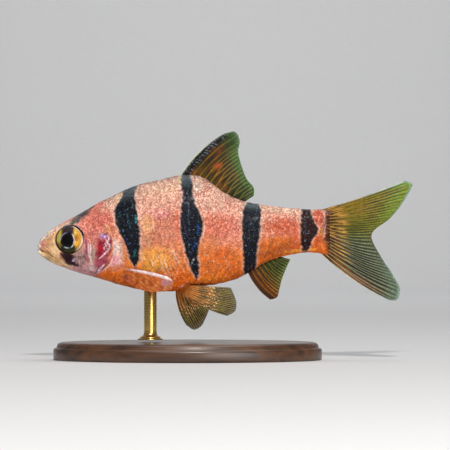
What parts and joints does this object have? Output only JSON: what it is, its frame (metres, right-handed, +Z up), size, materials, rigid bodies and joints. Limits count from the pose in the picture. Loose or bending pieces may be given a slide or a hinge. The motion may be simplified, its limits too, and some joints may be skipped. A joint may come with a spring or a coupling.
{
  "type": "five-banded barb",
  "caption": "Still, life-size display model of a five-banded barb swimming level, held over a flat oval base by a short rod.",
  "frame": {"origin": "bottom centre of the bounding box, on the plane that the base stands on", "axes": "+X from snout to tail, +Y toward the fish's right flank, +Z up"},
  "size_m": [0.0504, 0.022, 0.0307],
  "materials": {
    "head_skin": "moist skin, salmon pink over peach, with a grey nape",
    "jaw_skin": "moist pale peach skin",
    "flank_skin": "scaled skin, cream pink back to orange belly, with black bands",
    "tail_skin": "scaled skin, coral orange, with black bands",
    "gill_skin": "smooth pearly bone plate with a crimson patch",
    "eye": "gold iris and black pupil under a clear domed cornea",
    "dorsal_membrane": "olive brown membrane with pale rays and a black front edge",
    "tail_membrane": "clear membrane with gold at the root and pale beaded rays",
    "lower_membrane": "amber membrane with pale rays",
    "base_wood": "dark stained wood, satin lacquer",
    "rod_brass": "polished brass"
  },
  "bodies": {
    "root": {"head": "head_skin", "lower_jaw": "jaw_skin", "torso": "flank_skin", "tail_stem": "tail_skin", "gill_cover_left": "gill_skin", "gill_cover_right": "gill_skin", "eye_left": "eye", "eye_right": "eye", "dorsal_fin": "dorsal_membrane", "anal_fin": "lower_membrane", "caudal_fin": "tail_membrane", "pectoral_fin_left": "lower_membrane", "pectoral_fin_right": "lower_membrane", "pelvic_fin_left": "lower_membrane", "pelvic_fin_right": "lower_membrane", "stand_base": "base_wood", "stand_rod": "rod_brass"}
  },
  "joints": []
}
